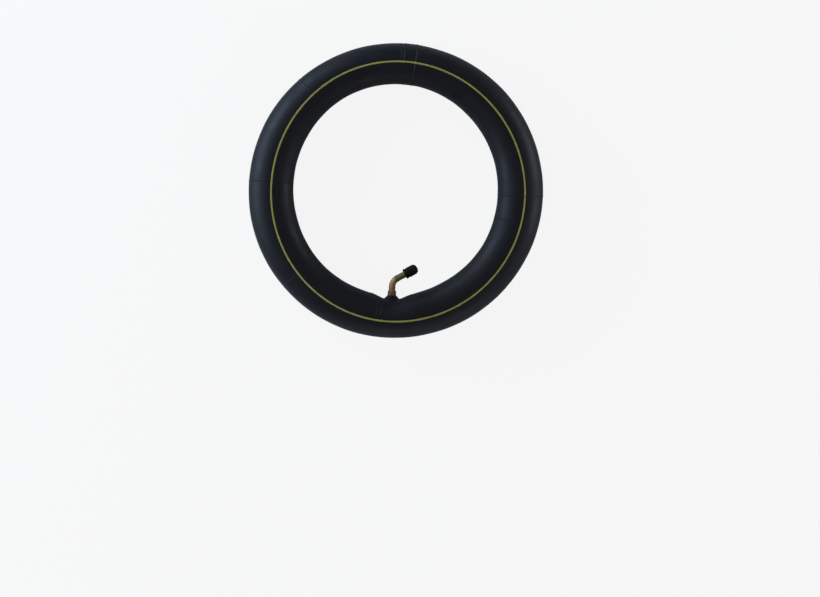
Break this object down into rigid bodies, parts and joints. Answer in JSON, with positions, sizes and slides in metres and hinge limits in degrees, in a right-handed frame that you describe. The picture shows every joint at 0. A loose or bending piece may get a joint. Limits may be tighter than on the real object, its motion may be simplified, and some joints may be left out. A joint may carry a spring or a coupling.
{
  "type": "inner tube",
  "caption": "Round rubber inner tube for a small pneumatic tyre, lightly inflated, with a bent metal car-type valve and a ribbed dust cap.",
  "frame": {"origin": "centre of the ring, halfway up its section", "axes": "+Z along the ring's axis, up when the tube lies flat; the valve stands at -Y, points to the centre and bends towards +X"},
  "size_m": [0.3076, 0.3076, 0.0448],
  "materials": {
    "tube_rubber": "smooth, dull sheen",
    "brass": "plain, slightly tarnished",
    "steel": "drawn",
    "seal_rubber": "matt",
    "cap_plastic": "moulded, satin"
  },
  "bodies": {
    "tube": {"tube_body": "tube_rubber", "valve_pad": "tube_rubber", "valve_spud": "brass", "valve_stem": "brass", "core_plug": "brass", "core_barrel": "brass", "barrel_seal": "seal_rubber", "core_spring": "steel"},
    "plunger": {"core_pin": "steel", "core_cup": "brass", "cup_seal": "seal_rubber"},
    "cap_liner": {"cap_seal": "tube_rubber"},
    "cap": {"dust_cap": "cap_plastic"}
  },
  "joints": [
    {"name": "cap_lift", "type": "slide", "parent": "tube", "child": "cap_liner", "axis": [0.8634, 0.5045, 0], "range_m": [0, 0.01111]},
    {"name": "cap_turn", "type": "hinge", "parent": "cap_liner", "child": "cap", "pos_m": [0.02188, -0.08169, 0], "axis": [0.8634, 0.5045, 0], "range_deg": [0, 5040]},
    {"name": "pin_press", "type": "slide", "parent": "tube", "child": "plunger", "axis": [-0.8634, -0.5045, 0], "range_m": [0, 0.0012], "stiffness_N_per_m": 600, "springref_m": -0.004, "deforming": ["core_spring"]}
  ],
  "couplings": [
    {"joint": "cap_turn", "follows": "cap_lift", "rad_per_m": 7915.8}
  ]
}
